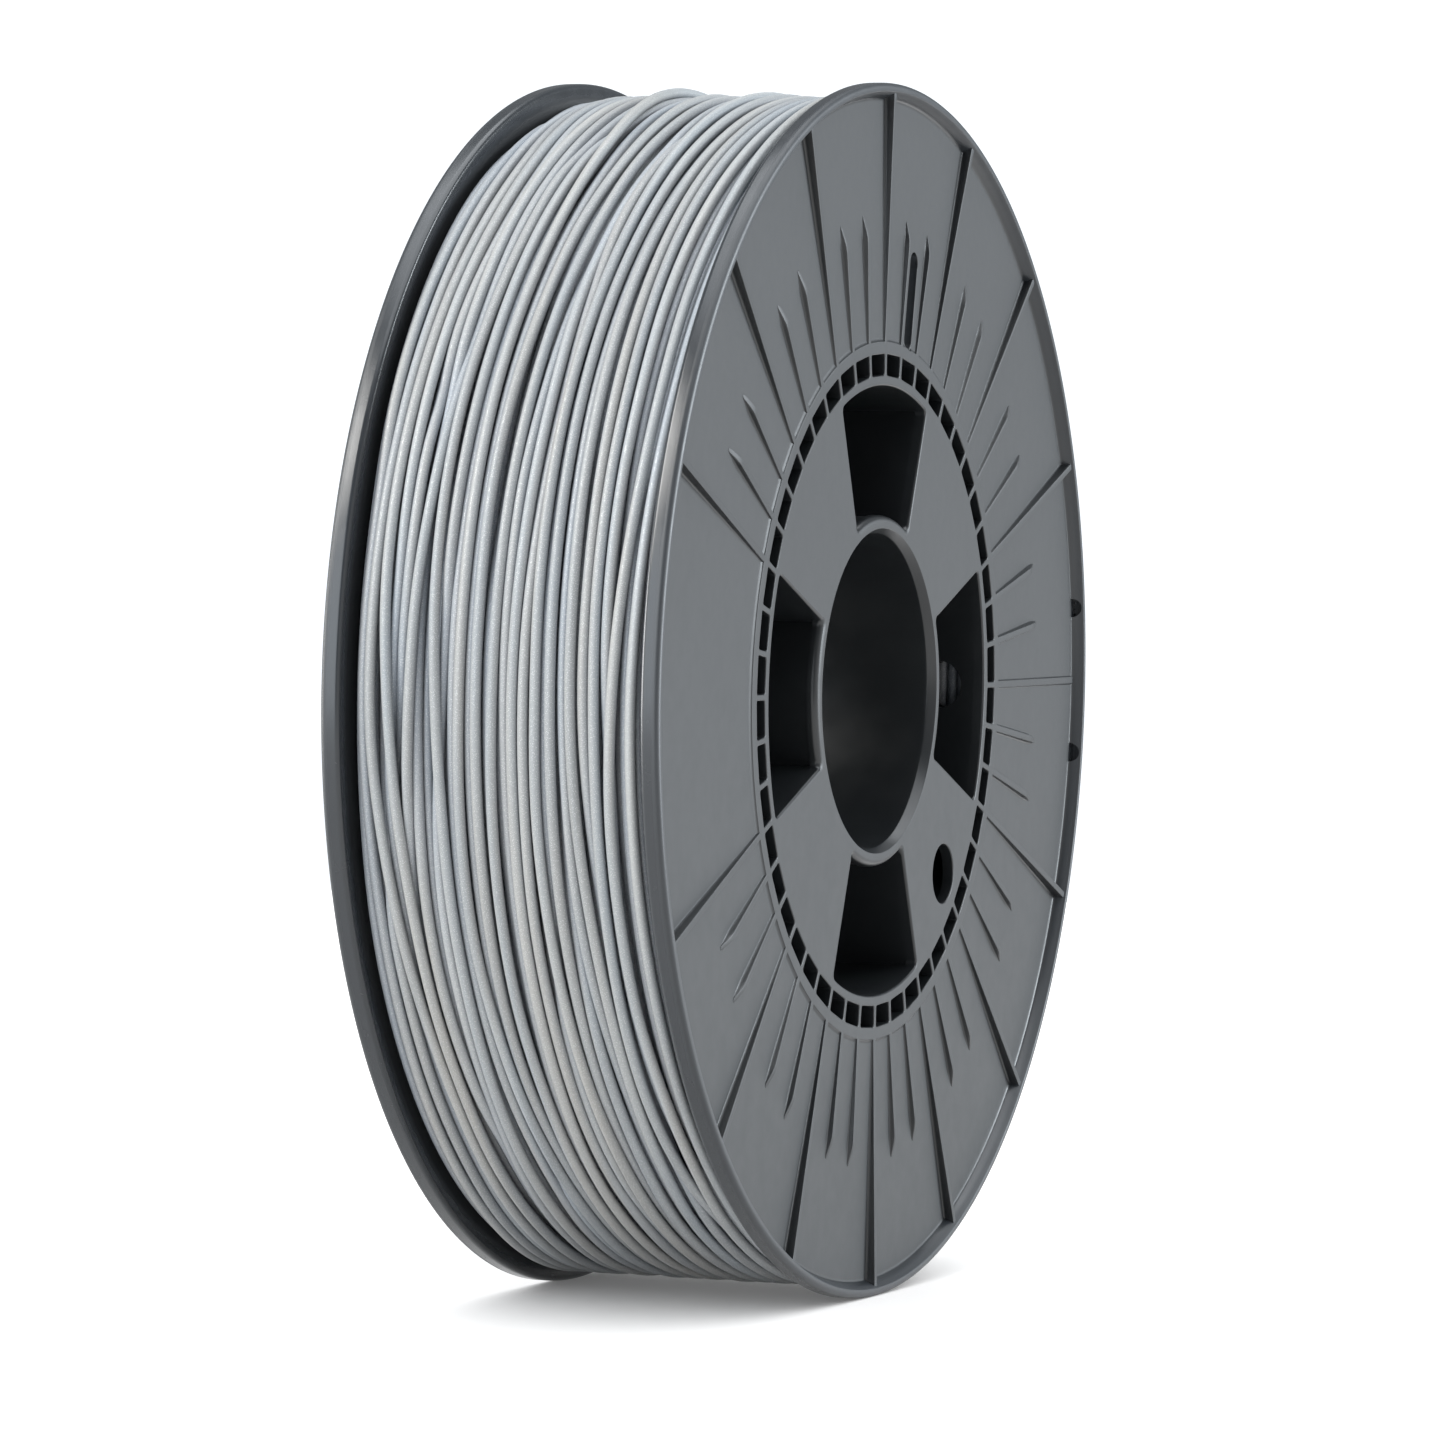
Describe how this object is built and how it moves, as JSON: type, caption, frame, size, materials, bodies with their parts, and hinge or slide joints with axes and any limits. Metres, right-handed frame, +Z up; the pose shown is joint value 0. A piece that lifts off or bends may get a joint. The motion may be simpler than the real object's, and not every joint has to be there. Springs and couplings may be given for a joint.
{
  "type": "filament spool",
  "caption": "Round spool with ribbed flanges, windowed hub and drum, wound full of round plastic filament, standing on its rims.",
  "frame": {"origin": "on the ground, midway between the flanges, straight below the axis", "axes": "+X along the spool's axis towards the near flange, +Z up, -Y towards the viewer"},
  "size_m": [0.057, 0.2, 0.2],
  "materials": {
    "spool_plastic": "charcoal grey moulded plastic, semi-gloss",
    "filament": "silver-grey extruded plastic, satin with a fine sparkle"
  },
  "bodies": {
    "root": {"near_flange": "spool_plastic", "near_drum_half": "spool_plastic", "near_hub_half": "spool_plastic", "far_flange": "spool_plastic", "far_drum_half": "spool_plastic", "far_hub_half": "spool_plastic", "filament_inner_layers": "filament", "filament_outer_layer": "filament"}
  },
  "joints": []
}
